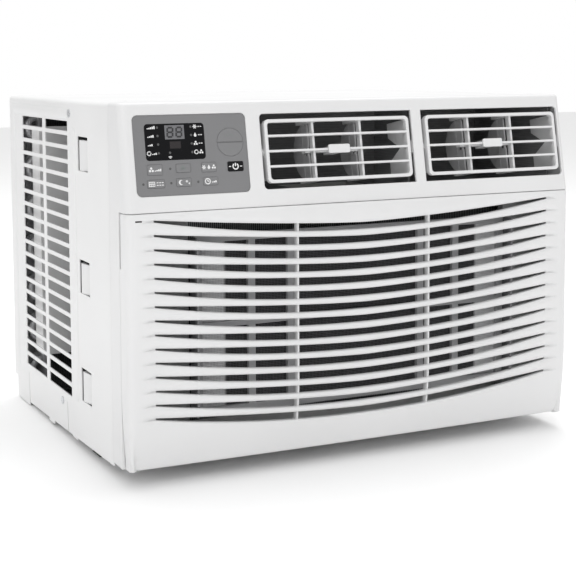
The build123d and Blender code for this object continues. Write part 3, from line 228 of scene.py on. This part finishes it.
WHITE = (0.76, 0.76, 0.762)
ZINC = (0.42, 0.43, 0.44)
SMOOTH = {"depth": 0.01, "spread": 0.02}
DARK_GLOSS = {"grain": 1500, "gloss": 0.15}
MATERIALS = {
    "cabinet_paint": finish("cabinet_paint", grey(0.80), 0.38, grain=700, depth=0.03, spread=0.02, soft=0.8),
    "pan_paint": finish("pan_paint", grey(0.79), 0.42, grain=700, depth=0.03, spread=0.03, soft=0.8),
    "fascia_plastic": finish("fascia_plastic", WHITE, 0.36, grain=1400, depth=0.015, spread=0.015, soft=1.2),
    "grille_plastic": finish("grille_plastic", WHITE, 0.34, grain=1400, depth=0.015, spread=0.015),
    "louvre_plastic": finish("louvre_plastic", WHITE, 0.30, grain=1500, depth=0.01, spread=0.012, soft=0.7),
    "tab_plastic": finish("tab_plastic", WHITE, 0.30, grain=1500, depth=0.01, spread=0.012, soft=0.5),
    "vane_plastic": finish("vane_plastic", (0.44, 0.44, 0.445), 0.40, grain=1200, soft=0.5),
    "duct_charcoal": pinstripe("duct_charcoal", (0.24, 0.24, 0.245), 0.55),
    "panel_grey": finish("panel_grey", (0.205, 0.205, 0.21), 0.42, grain=1800, **SMOOTH, soft=0.4),
    "key_grey": finish("key_grey", (0.210, 0.210, 0.215), 0.40, grain=1800, **SMOOTH, soft=0.5),
    "key_black": finish("key_black", (0.010, 0.010, 0.011), 0.3, depth=0.008, soft=0.5, **DARK_GLOSS),
    "lens_black": finish("lens_black", (0.006, 0.006, 0.007), 0.22, depth=0.004, soft=0.4, **DARK_GLOSS),
    "digit_grey": finish("digit_grey", (0.17, 0.17, 0.18), 0.3, grain=1500),
    "led_lens": finish("led_lens", (0.10, 0.10, 0.10), 0.22, grain=1500),
    "board_green": finish("board_green", (0.012, 0.075, 0.03), 0.4, spread=0.2),
    "box_grey": finish("box_grey", (0.20, 0.20, 0.205), 0.5),
    "scroll_foam": finish("scroll_foam", (0.62, 0.62, 0.60), 0.9, grain=260, depth=0.4, spread=0.04),
    "filter_plastic": finish("filter_plastic", (0.42, 0.42, 0.43), 0.5, soft=0.3),
    "shroud_paint": finish("shroud_paint", grey(0.80), 0.5, grain=300, depth=0.05, spread=0.06, soft=0.5),
    # condenser fins nearly black all over: painted shade for the dark inside of the unit
    "condenser_fins": fin_metal("condenser_fins", (0.004, 0.004, 0.004), (0.05, 0.05, 0.052), 0.2, 216),
    "coil_aluminium": fin_metal("coil_aluminium", (0.03, 0.03, 0.03), (0.42, 0.43, 0.44), 0.7, 196),
    "filter_net": net(),
    # grey finish for the lining, which is white plastic: painted shade deep in the intake
    "lining_grey": finish("lining_grey", (0.42, 0.42, 0.425), 0.6, grain=500, spread=0.05),
    "rail_grey": finish("rail_grey", (0.16, 0.16, 0.165), 0.5, grain=900, soft=0.3),
    "print_white": finish("print_white", (0.80, 0.80, 0.80), 0.5, grain=1500, depth=0.004),
    "print_faint": finish("print_faint", (0.20, 0.215, 0.21), 0.5, grain=1500, depth=0.004),
    "receiver_dark": finish("receiver_dark", (0.022, 0.018, 0.019), 0.25, grain=1500, depth=0.004),
    "digit_dark": finish("digit_dark", (0.03, 0.03, 0.032), 0.35, grain=1500, depth=0.004),
    "galvanised": finish("galvanised", ZINC, 0.42, 0.9, grain=130, depth=0.01, spread=0.10, soft=0.4),
    "shaft_steel": finish("shaft_steel", (0.45, 0.45, 0.46), 0.25, 1.0, grain=600),
    "screw_zinc": finish("screw_zinc", (0.62, 0.63, 0.65), 0.28, 1.0, grain=900, soft=0.3),
    "motor_paint": finish("motor_paint", (0.02, 0.02, 0.021), 0.4, spread=0.1, soft=0.6),
    "compressor_black": finish(
        "compressor_black", (0.012, 0.012, 0.013), 0.3, grain=300, depth=0.06, spread=0.1
    ),
    "cover_black": finish("cover_black", (0.015, 0.015, 0.016), 0.5, soft=0.6),
    "copper": finish("copper", (0.70, 0.28, 0.14), 0.3, 1.0, grain=400, spread=0.12),
    "capacitor_alloy": finish("capacitor_alloy", (0.55, 0.55, 0.56), 0.32, 1.0, grain=500),
    "fan_black": finish("fan_black", (0.018, 0.018, 0.019), 0.45, spread=0.08, soft=0.4),
    "rubber_black": finish("rubber_black", (0.013, 0.013, 0.013), 0.75, grain=500, depth=0.05, soft=0.5),
}


SLOT_OF = {part["node"]: part["material_slot"] for part in frame["record"]["subparts"]}
for node, item in frame["nodes"].items():
    item.data.materials.clear()
    item.data.materials.append(MATERIALS[SLOT_OF[node]])


# ---------------------------------------------------------------- mesh makers
def mesh_piece(name, corners, faces, slot, body, replaced=(), smooth=None, look=None):
    """Mesh from millimetre corners, riding on a body and standing for CAD nodes."""
    mesh = bpy.data.meshes.new(name)
    mesh.from_pydata([Vector(corner) * MM for corner in corners], [], faces)
    mesh.validate()
    if smooth is not None:
        mesh.shade_smooth()
        mesh.set_sharp_from_angle(angle=radians(smooth))
    mesh.materials.append(MATERIALS[look or slot])
    piece = bpy.data.objects.new(name, mesh)
    bpy.context.scene.collection.objects.link(piece)
    tidy = bmesh.new()
    tidy.from_mesh(mesh)
    bmesh.ops.recalc_face_normals(tidy, faces=tidy.faces)
    tidy.to_mesh(mesh)
    tidy.free()
    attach(piece, body)
    if replaced:
        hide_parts(*replaced)
    return piece


# ---------------------------------------------------------------- intake grille
GRILLE_TOP = SEAM_Z - 0.5
GRILLE_BACK = 19.0
GRILLE_R = 7.0
TUCK_Z = 91.0
TUCK_BACK = 9.5
SLOTS = 15
SLOT_PITCH = 12.5
SLOT_TOP_Z = 237.3
SLOT_HALF = 209.3
SLOT_END = 0.9
SLOT_DIP_TOP = 12.6             # sag of each slot's upper edge in the middle
SLOT_DIP_LOW = 17.4
SAG_TOP = 1.45                 # how quickly the edges sag away from the slot's ends
SAG_LOW = 2.1
GROOVE_END = 222.0
FINGER_LOW = 196.0             # finger pulls are cut into the side walls above this
FINGER_DEPTH = 15.5
RIB_X = 70.0
RAIL_X = 168.0
SKIN = 2.5
SLAT_DEPTH = 6.0
SLAT_ROUND = 3.2


BOW_R = (WIDTH ** 2 / 4 + BOW ** 2) / (2 * BOW)


def bowed_y(x):
    """Y of the bowed front at this x."""
    return at(-BOW) + BOW_R - sqrt(BOW_R ** 2 - x ** 2)


def plan_columns():
    """Stations round the grille's plan from one side's rear edge to the other's: x, y and inward normal."""
    flat = WIDTH / 2 - GRILLE_R
    half = [0.0]
    half += [SLOT_HALF * step / 60 for step in range(1, 61)]
    half += [SLOT_HALF + 0.05] + [SLOT_HALF + 1.4 * step for step in range(1, 10)]
    half += [GROOVE_END, flat]
    front = []
    for x in half:
        front.append((x, bowed_y(x), Vector((-x / BOW_R, sqrt(1 - (x / BOW_R) ** 2), 0))))
    edge_y = front[-1][1]
    for step in range(1, 7):
        turn = radians(15 * step)
        place = (flat + GRILLE_R * sin(turn), edge_y + GRILLE_R * (1 - cos(turn)))
        front.append((*place, Vector((-sin(turn), cos(turn), 0))))
    front.append((WIDTH / 2, at(GRILLE_BACK), Vector((-1, 0, 0))))
    mirrored = [(-x, y, Vector((-normal.x, normal.y, 0))) for x, y, normal in reversed(front[1:])]
    return mirrored + front


def slot_edges(row, x):
    """Upper and lower edge heights of a slot at this x."""
    level = SLOT_TOP_Z - row * SLOT_PITCH
    out = min(1.0, abs(x) / SLOT_HALF)
    upper = level + SLOT_END - SLOT_DIP_TOP * (1 - out ** SAG_TOP)
    return upper, level - SLOT_END - SLOT_DIP_LOW * (1 - out ** SAG_LOW)


def grille_profile(x):
    """Front profile at one station, top to bottom, as (z, depth) pairs with slot marks."""
    out = abs(x)
    groove = 1.6 * max(0.0, 1 - max(0.0, out - SLOT_HALF) / (GROOVE_END - SLOT_HALF))
    points = [("top", GRILLE_TOP, GRILLE_BACK), ("top", GRILLE_TOP, 1.2), ("front", GRILLE_TOP - 0.4, 0.35)]
    points.append(("front", GRILLE_TOP - 1.2, 0.0))
    upper = GRILLE_TOP - 1.2
    for row in range(SLOTS + 1):
        last = row == SLOTS
        lower = slot_edges(row, x)[0] if not last else None
        if not last:
            middle, half = (upper + lower) / 2, (upper - lower) / 2
            for step in range(-4, 5):
                if row == 0 and step < 0:
                    continue
                s = step / 4
                roll = SLAT_ROUND * min(1.0, half / 3) * (1 - sqrt(max(0.0, 1 - (0.94 * s) ** 2)))
                roll *= min(1.0, groove / 1.6)
                points.append(("front", middle - s * half, roll))
            edge_depth = points[-1][2] + groove
            low = slot_edges(row, x)[1]
            points.append(("edge_top", lower, edge_depth))
            points.append(("edge_low", low, edge_depth))
            upper = low
        else:
            points.append(("front", upper, SLAT_ROUND * 0.4 * min(1.0, groove / 1.6)))
            points.append(("front", upper - 1.0, 0.1))
            for step in range(1, 13):
                z = upper - 1.0 - step / 12 * (upper - 1.0 - FASCIA_BOTTOM - 1.5)
                points.append(("front", z, 0.0))
            points.append(("front", FASCIA_BOTTOM + 0.4, 0.5))
            points.append(("front", FASCIA_BOTTOM, 1.6))
            points.append(("front", FASCIA_BOTTOM, SKIN + 4))
    return points


def tuck(z):
    """How far the lower front curves back at this height."""
    return TUCK_BACK * max(0.0, (TUCK_Z - z) / (TUCK_Z - FASCIA_BOTTOM)) ** 2


def build_grille():
    columns = plan_columns()
    corners, faces = [], []
    marks = [mark for mark, _, _ in grille_profile(0.0)]
    height = len(marks)
    fronts, backs = [], []
    for x, y, normal in columns:
        front_weight = 0.35 + 0.65 * normal.y ** 2
        on_side = normal.y < 0.01
        fronts.append(len(corners))
        profile = grille_profile(x)
        for mark, z, depth in profile:
            inward = depth + tuck(z) * front_weight
            reach = 0.0 if on_side or mark == "top" else inward
            base = Vector((x, y, 0)) + normal * reach
            if mark == "top":
                base = Vector((x, y, 0)) + normal * (min(depth, 1.2))
                if depth > 2:
                    base.y = at(GRILLE_BACK)
            if on_side:
                base = Vector((x, y, 0)) + normal * min(inward, 4.0)
                if z > FINGER_LOW:
                    base.y = at(FINGER_DEPTH)
            corners.append((base.x, base.y, z))
        backs.append(len(corners))
        for mark, z, depth in profile:
            thick = SLAT_DEPTH if abs(x) < SLOT_HALF + 0.01 else SKIN + 0.2
            inward = thick + tuck(z) * front_weight
            base = Vector((x, y, 0)) + normal * (inward if not on_side else SKIN)
            corners.append((base.x, base.y, z))
    for station in range(len(columns) - 1):
        a, b = fronts[station], fronts[station + 1]
        c, d = backs[station], backs[station + 1]
        wide = max(abs(columns[station][0]), abs(columns[station + 1][0]))
        is_open = wide < SLOT_HALF + 0.01
        for level in range(height - 1):
            gap = marks[level] == "edge_top" and marks[level + 1] == "edge_low"
            if gap and is_open:
                faces.append((a + level, b + level, d + level, c + level))
                faces.append((a + level + 1, c + level + 1, d + level + 1, b + level + 1))
                continue
            faces.append((a + level, a + level + 1, b + level + 1, b + level))
            if level > 2 and level < height - 3:
                faces.append((c + level, d + level, d + level + 1, c + level + 1))
    for edge in (-1, 1):
        station = min(
            range(len(columns)), key=lambda place: abs(columns[place][0] - edge * SLOT_HALF)
        )
        a, c = fronts[station], backs[station]
        for level in range(height - 1):
            if marks[level] == "edge_top":
                faces.append((a + level, a + level + 1, c + level + 1, c + level))
    replaced = ("intake_grille",)
    return mesh_piece("intake_grille_skin", corners, faces, "grille_plastic", "grille", replaced, 40)


build_grille()


def upright(name, section, low, high, place=("grille_plastic", "grille"), look=None, steps=24):
    """Moulded bar with a section of (x, depth) corners; on the grille it follows the grille's curve."""
    slot, body = place
    corners, faces = [], []
    count = len(section)
    for step in range(steps + 1):
        z = low + (high - low) * step / steps
        for x, depth in section:
            follow = tuck(z) - BOW * (1 - (2 * x / WIDTH) ** 2) if body == "grille" else 0.0
            corners.append((x, at(depth + follow), z))
        if step:
            base = (step - 1) * count
            for side in range(count):
                after = (side + 1) % count
                faces.append((base + side, base + after, base + count + after, base + count + side))
    faces.append(tuple(range(count)))
    faces.append(tuple(range(len(corners) - count, len(corners))))
    return mesh_piece(name, corners, faces, slot, body, smooth=40, look=look)


RIB = [(-1.0, 9.0), (-1.0, 3.4), (-0.6, 2.6), (0.6, 2.6), (1.0, 3.4), (1.0, 9.0)]
RIB_Z = (42.0, SEAM_Z - 3)
RAIL = [(-1.3, 19.5), (-1.3, 6.0), (-0.8, 4.0), (0.8, 4.0), (1.3, 6.0), (1.3, 19.5)]
RAIL_Z = (58.0, 219.0)
# channel beside the filter, with its flanges turned inwards; it is white plastic given a grey finish as
# painted shade
LINING = [
    (169.8, 30.0), (169.8, 20.8), (170.4, 20.2), (213.4, 20.2), (214.0, 20.8), (214.0, 30.0),
    (212.6, 30.0), (212.6, 21.6), (171.2, 21.6), (171.2, 30.0),
]
LINING_Z = (46.0, 238.0)

for hand, word in ((-1, "left"), (1, "right")):
    rib = [(hand * RIB_X + x, depth) for x, depth in RIB]
    rail = [(hand * RAIL_X + x, depth) for x, depth in RAIL]
    channel = [(hand * x, depth) for x, depth in LINING]
    upright(f"grille_rib_{word}", rib, *RIB_Z)
    upright(f"filter_rail_{word}", rail, *RAIL_Z, look="rail_grey")
    # the lining takes the grey finish, painted shade over its white plastic
    upright(f"intake_lining_{word}", channel, *LINING_Z, ("fascia_plastic", "housing"), "lining_grey")

# ---------------------------------------------------------------- panel prints
INK = 0.05
BOLD = 1.35
KEY_MIDDLE = 2.3               # depth of the middle of a key's box
KEY_FRONT = 0.3
LENS_FRONT = 0.3
LEVELS = (74.4, 67.0, 59.5, 51.8)


def stroke(points, width):
    """Line of even width through the points, as four-cornered shapes."""
    shapes = []
    for start, end in zip(points, points[1:]):
        a, b = Vector(start), Vector(end)
        across = (b - a).orthogonal().normalized() * width * BOLD / 2
        shapes.append([a + across, b + across, b - across, a - across])
    return shapes


def arc(radius, start, end, steps=14):
    """Points on a circle between two angles in degrees."""
    angles = [radians(start + (end - start) * step / steps) for step in range(steps + 1)]
    return [(radius * cos(angle), radius * sin(angle)) for angle in angles]


def moved(shapes, x, v, turn=0.0, scale=1.0):
    spin = Matrix.Rotation(radians(turn), 2) * scale
    return [[spin @ Vector(point) + Vector((x, v)) for point in shape] for shape in shapes]


def oblong(width, height):
    """Level rectangle about the middle."""
    x, v = width / 2, height / 2
    return [(-x, -v), (x, -v), (x, v), (-x, v)]


def power_sign():
    return stroke(arc(2.5, 125, 415), 0.8) + stroke([(0, 0.2), (0, 3.0)], 0.8)


def snowflake():
    arm = stroke([(-1.8, 0), (1.8, 0)], 0.55)
    return [shape for turn in (0, 60, 120) for shape in moved(arm, 0, 0, turn)]


def drop():
    return [[Vector((0, 2.0))] + [Vector(point) - Vector((0, 0.4)) for point in arc(1.2, 30, -210)]]


def fan_sign():
    blade = [Vector(point) + Vector((0, 1.15)) for point in arc(0.85, -90, 200)]
    return [shape for turn in (0, 120, 240) for shape in moved([blade], 0, 0, turn)]


def bars(count):
    """Row of rising bars, one more for each speed."""
    width = 1.5
    return [
        shape
        for step in range(count)
        for shape in stroke([(step * width, -1.2), (step * width, -0.5 + 0.45 * step)], 0.9)
    ]


def cycle():
    ring = stroke(arc(1.6, 40, 200), 0.55) + stroke(arc(1.6, 220, 380), 0.55)
    return ring + [[Vector((-2.3, -0.2)), Vector((-0.8, -0.2)), Vector((-1.5, -1.2))]]


def moon():
    outer = [Vector(point) for point in arc(2.1, 60, 300)]
    inner = [Vector(point) * 0.78 + Vector((0.95, 0)) for point in arc(2.1, 285, 75)]
    return [outer + inner]


def clock():
    return stroke(arc(2.2, 0, 360, 20), 0.6) + stroke([(0, 1.4), (0, 0), (1.2, 0)], 0.5)


def net_sign():
    upright_lines = [shape for x in (-2.4, -0.8, 0.8, 2.4) for shape in stroke([(x, -1.7), (x, 1.7)], 0.45)]
    return upright_lines + [shape for v in (-1.7, 0, 1.7) for shape in stroke([(-2.6, v), (2.6, v)], 0.45)]


def leaf():
    edge = [Vector(point) for point in arc(2.4, 200, 70)] + [Vector((2.2, -1.6))]
    return [edge] + stroke([(-2.6, -2.0), (0.4, 0.2)], 0.4)


def waves():
    return [shape for radius in (0.9, 1.9, 2.9) for shape in stroke(arc(radius, 45, 135, 8), 0.5)]


def chevron(hand):
    return stroke([(-3.6, -1.2 * hand), (0, 1.2 * hand), (3.6, -1.2 * hand)], 0.5)


def dashes(count, length, gap):
    """Short level dashes side by side, centred."""
    step = length + gap
    left = -(count - 1) * step / 2 - length / 2
    starts = [left + place * step for place in range(count)]
    return [shape for start in starts for shape in stroke([(start, 0), (start + length, 0)], 0.5)]


def printed(name, shapes, depth, body, look="print_white", slot="panel_grey"):
    """Thin printed shapes on the leaning face at this depth."""
    corners, faces = [], []
    for shape in shapes:
        base, count = len(corners), len(shape)
        for lift in (0.0, INK):
            corners += [face_point(point[0], point[1], depth - lift) for point in shape]
        faces.append(tuple(range(base + count, base + 2 * count)))
        for side in range(count):
            after = (side + 1) % count
            faces.append((base + side, base + after, base + count + after, base + count + side))
    return mesh_piece(name, corners, faces, slot, body, look=look)


def key_middle(node):
    """Middle of a key across and up the leaning face."""
    low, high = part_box(node)
    z = (low.z + high.z) / 2 / MM
    return (low.x + high.x) / 2 / MM, (z - SEAM_Z + KEY_MIDDLE * sin(LEAN)) / cos(LEAN)


side_dash = dashes(1, 2.0, 0)
net_lines = dashes(3, 1.6, 0.6)
KEY_SIGNS = {
    "power_key": moved(power_sign(), 0, 0, 0, 0.95) + moved(side_dash, -5.0, 0) + moved(side_dash, 5.0, 0),
    "mode_key": moved(snowflake(), -4.4, 0) + moved(drop(), 0, 0) + moved(fan_sign(), 4.4, 0),
    "fan_speed_key": moved(fan_sign(), -3.2, 0, 0, 1.15) + moved(bars(4), 0.2, 0),
    "filter_key": moved(net_sign(), -3.6, 0) + moved(net_lines, 3.4, 1.0) + moved(net_lines, 3.4, -1.0),
    "sleep_key": (
        moved(moon(), -2.4, 0) + moved(snowflake(), 2.6, 0.8, 0, 0.6) + moved(snowflake(), 4.6, -1.0, 0, 0.45)
    ),
    "timer_key": moved(clock(), -2.6, 0) + moved(bars(3), 1.6, 0),
}
FAINT = ("print_faint", "key_grey")
for node, shapes in KEY_SIGNS.items():
    printed(f"{node}_sign", moved(shapes, *key_middle(node), 0, 1.08), KEY_FRONT, node, slot="key_grey")
printed("eco_key_sign", moved(leaf(), *key_middle("eco_key")), KEY_FRONT, "eco_key", *FAINT)
for node, hand in (("up_key", 1), ("down_key", -1)):
    printed(f"{node}_sign", moved(chevron(hand), *key_middle(node)), KEY_FRONT, node, *FAINT)

lens_low, lens_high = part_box("display_window")
LENS_X = (lens_low.x + lens_high.x) / 2 / MM
left_signs = [bars(5), bars(4), bars(3), cycle() + moved(bars(3), 3.2, 0)]
right_signs = [
    snowflake() + moved(dashes(2, 1.4, 0.6), 4.4, 0),
    drop() + moved(dashes(2, 1.4, 0.6), 4.4, 0),
    fan_sign() + moved(dashes(2, 1.4, 0.6), 4.4, 0),
    cycle() + moved(fan_sign(), 4.4, 0),
]
labels = moved(waves(), LENS_X - 5.5, 46.4, 0, 0.8)
for level, left, right in zip(LEVELS, left_signs, right_signs):
    labels += moved(left, LENS_X - 25.0, level, 0, 1.05) + moved(right, LENS_X + 19.4, level, 0, 1.05)
printed("lens_labels", labels, LENS_FRONT, "housing", slot="lens_black")

DIGIT_V = 69.9
DIGIT_FIELD = (18.3, 12.4)
RECEIVER = (10.4, 6.2)
RECEIVER_V = 58.6
field = moved([oblong(*DIGIT_FIELD)], LENS_X, DIGIT_V)
printed("digit_field", field, LENS_FRONT, "housing", "digit_grey", "digit_grey")
segments = []
for x in (-4.2, 4.2):
    ends = [(x - 2.5, 4.1), (x + 2.5, 4.1), (x + 2.2, 0), (x - 2.8, 0), (x - 3.1, -4.1), (x + 1.9, -4.1)]
    for first, second in ((0, 1), (1, 2), (3, 0), (3, 2), (3, 4), (2, 5), (4, 5)):
        a, b = Vector(ends[first]), Vector(ends[second])
        inset = (b - a) * 0.09
        segments += stroke([a + inset, b - inset], 1.6 / BOLD)
digits = moved(segments, LENS_X + 0.3, DIGIT_V)
printed("digit_segments", digits, LENS_FRONT - INK, "housing", "digit_dark", "digit_grey")
receiver = moved([oblong(*RECEIVER)], LENS_X, RECEIVER_V)
printed("receiver_window", receiver, LENS_FRONT, "housing", "receiver_dark", "lens_black")

# ---------------------------------------------------------------- rubber seals round the keys
SEAL_FRONT = 0.55
SEAL_BACK = 1.6
SEAL_EDGES = (0.4, 0.08)       # how far a seal's outer and inner outlines stand off the key
KEY_LENGTH = 4.0
KEY_ROUND = 1.2
ROCKER_R = 12.5
ROCKER_SPLIT = 0.5             # height of each rocker half's straight edge off the middle


def key_shape(node, grow):
    """Outline of a key on the leaning face, enlarged by grow."""
    low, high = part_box(node)
    x, v = key_middle(node)
    half_w = (high.x - low.x) / 2 / MM + grow
    half_h = ((high.z - low.z) / MM - KEY_LENGTH * sin(LEAN)) / cos(LEAN) / 2 + grow
    radius = KEY_ROUND + grow
    points = []
    for right_side, top, start in ((1, 1, 0), (-1, 1, 90), (-1, -1, 180), (1, -1, 270)):
        middle = Vector((x + right_side * (half_w - radius), v + top * (half_h - radius)))
        points += [middle + Vector(point) for point in arc(radius, start, start + 90, 6)]
    return points


def rocker_shape(hand, middle, grow):
    """Outline of one half of the round up and down key, enlarged by grow."""
    radius = ROCKER_R + grow
    edge = ROCKER_SPLIT - grow
    turn = degrees(asin(edge / radius))
    return [Vector(middle) + Vector((x, hand * v)) for x, v in arc(radius, turn, 180 - turn, 40)]


def seal(name, outer, inner):
    """Flat ring between two outlines, filling the gap round a key."""
    count = len(outer)
    corners, faces = [], []
    for depth in (SEAL_FRONT, SEAL_BACK):
        for outline in (outer, inner):
            corners += [face_point(point[0], point[1], depth) for point in outline]
    for side in range(count):
        after = (side + 1) % count
        loop = [ring * count for ring in (0, 1, 3, 2)]
        for first, second in zip(loop, loop[1:] + loop[:1]):
            faces.append((first + side, first + after, second + after, second + side))
    return mesh_piece(name, corners, faces, "panel_grey", "housing")


for node in (*KEY_SIGNS, "eco_key"):
    seal(f"{node}_seal", *(key_shape(node, grow) for grow in SEAL_EDGES))
up_low, up_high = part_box("up_key")
rocker_x = (up_low.x + up_high.x) / 2 / MM
rocker_v = (up_high.z / MM - SEAM_Z + KEY_FRONT * sin(LEAN)) / cos(LEAN) - ROCKER_R
for node, hand in (("up_key", 1), ("down_key", -1)):
    seal(f"{node}_seal", *(rocker_shape(hand, (rocker_x, rocker_v), grow) for grow in SEAL_EDGES))

# ---------------------------------------------------------------- latch slot, upper left on the grille, drawn as a dark box of painted shade
LATCH_SLOT = ((-227.0, -221.0), (237.4, 238.8))        # x and z
LATCH_RISE = (-0.4, 0.05)      # from inside the grille's skin to just proud of it

corners = []
for rise in LATCH_RISE:
    for x, z in ((0, 0), (1, 0), (1, 1), (0, 1)):
        place = LATCH_SLOT[0][x]
        corners.append((place, bowed_y(place) - rise, LATCH_SLOT[1][z]))
latch_faces = [(0, 1, 2, 3), (4, 5, 6, 7), (0, 1, 5, 4), (1, 2, 6, 5), (2, 3, 7, 6), (3, 0, 4, 7)]
# the slot's dark inside is painted shade on a thin box, not a real recess
mesh_piece("latch_slot_shade", corners, latch_faces, "grille_plastic", "grille", look="receiver_dark")

# ---------------------------------------------------------------- pressed ribs on the cabinet's sides
CABINET_HALF = 234.0
RIB_HALF = 5.5
RIB_OUT = 0.95
RIBS = {
    "rear": ((372.0, 41.0), (372.0, 323.0)),
    "top": ((176.0, 326.0), (371.0, 326.0)),
    "front": ((152.0, 52.0), (152.0, 308.0)),
}


def pressed_rib(name, start, end, hand):
    """Rounded rib with round ends, standing off a side of the cabinet."""
    a, b = Vector(start), Vector(end)
    along = (b - a).normalized()
    lean = degrees(atan2(along.y, along.x))
    corners, faces = [], []
    steps, levels = 10, 8
    count = 2 * (steps + 1)
    for level in range(-1, levels):
        share = 1 - max(level, 0) / levels
        rise = -0.3 if level < 0 else RIB_OUT * (1 - share ** 2) ** 0.8
        for middle, first in ((b, lean - 90), (a, lean + 90)):
            for point in arc(RIB_HALF * share, first, first + 180, steps):
                corners.append((hand * (CABINET_HALF + rise), at(middle.x + point[0]), middle.y + point[1]))
    for level in range(levels):
        for side in range(count):
            after = (side + 1) % count
            base = level * count
            faces.append((base + side, base + after, base + count + after, base + count + side))
    faces.append(tuple(range(count)))
    faces.append(tuple(range(levels * count, (levels + 1) * count)))
    return mesh_piece(name, corners, faces, "cabinet_paint", "housing", smooth=50)


for hand, word in ((-1, "left"), (1, "right")):
    for line, (start, end) in RIBS.items():
        pressed_rib(f"{line}_rib_{word}", start, end, hand)

# ---------------------------------------------------------------- stage, lights and camera
STAGE_SIZE = 6.5
SKY_LOW = 0.50                 # strength of the surrounding light at the horizon and overhead
SKY_HIGH = 1.05
floor_mesh = bpy.data.meshes.new("floor")
floor_corners = [(*corner, 0) for corner in oblong(2 * STAGE_SIZE, 2 * STAGE_SIZE)]
floor_mesh.from_pydata(floor_corners, [], [(0, 1, 2, 3)])
floor = bpy.data.objects.new("floor", floor_mesh)
bpy.context.scene.collection.objects.link(floor)
floor_mesh.materials.append(finish("floor_paper", (0.96, 0.96, 0.96), 0.8, grain=60, depth=0.0, spread=0.005))

world = bpy.data.worlds.new("studio")
world.use_nodes = True
bpy.context.scene.world = world
sky = world.node_tree
background = sky.nodes["Background"]
direction = sky.nodes.new("ShaderNodeTexCoord")
split = sky.nodes.new("ShaderNodeSeparateXYZ")
height = sky.nodes.new("ShaderNodeMapRange")
height.inputs["From Min"].default_value = 0.0
height.inputs["To Min"].default_value = SKY_LOW
height.inputs["To Max"].default_value = SKY_HIGH
backdrop = sky.nodes.new("ShaderNodeLightPath")
shown = sky.nodes.new("ShaderNodeMix")
sky.links.new(direction.outputs["Generated"], split.inputs["Vector"])
sky.links.new(split.outputs["Z"], height.inputs["Value"])
sky.links.new(backdrop.outputs["Is Camera Ray"], shown.inputs["Factor"])
sky.links.new(height.outputs["Result"], shown.inputs["A"])
shown.inputs["B"].default_value = 1.0
sky.links.new(shown.outputs["Result"], background.inputs["Strength"])
background.inputs["Color"].default_value = (1, 1, 1, 1)


def soft_light(name, place, target, width, watts):
    lamp = bpy.data.lights.new(name, "AREA")
    lamp.shape = "SQUARE"
    lamp.size = width
    lamp.energy = watts
    light = bpy.data.objects.new(name, lamp)
    light.location = place
    light.rotation_euler = (Vector(target) - Vector(place)).to_track_quat("-Z", "Y").to_euler()
    bpy.context.scene.collection.objects.link(light)


soft_light("key_light", (-1.6, -2.4, 2.2), (0, 0, 0.15), 1.6, 22)
soft_light("top_light", (0.4, 0.6, 2.6), (0, 0, 0.2), 1.8, 30)

CAMERA_PLACE = Vector((-607.7, -1251.4, 373.5)) * MM
AZIMUTH, ELEVATION, ROLL = radians(-24.66), radians(4.84), radians(-0.43)
FOCAL_LENGTH = 82.08
SENSOR_WIDTH = 36.0
SHIFT = (0.0724, -0.1972)
back = Vector((sin(AZIMUTH) * cos(ELEVATION), -cos(AZIMUTH) * cos(ELEVATION), sin(ELEVATION)))
right = Vector((cos(AZIMUTH), sin(AZIMUTH), 0))
up = back.cross(right)
rolled_right = right * cos(ROLL) + up * sin(ROLL)
rolled_up = up * cos(ROLL) - right * sin(ROLL)
lens = bpy.data.cameras.new("camera")
lens.lens = FOCAL_LENGTH
lens.sensor_width = SENSOR_WIDTH
lens.shift_x, lens.shift_y = SHIFT
camera = bpy.data.objects.new("camera", lens)
turn = Matrix((rolled_right, rolled_up, back)).transposed().to_4x4()
camera.matrix_world = Matrix.Translation(CAMERA_PLACE) @ turn
bpy.context.scene.collection.objects.link(camera)
bpy.context.scene.camera = camera

bpy.context.scene.view_settings.view_transform = "Standard"
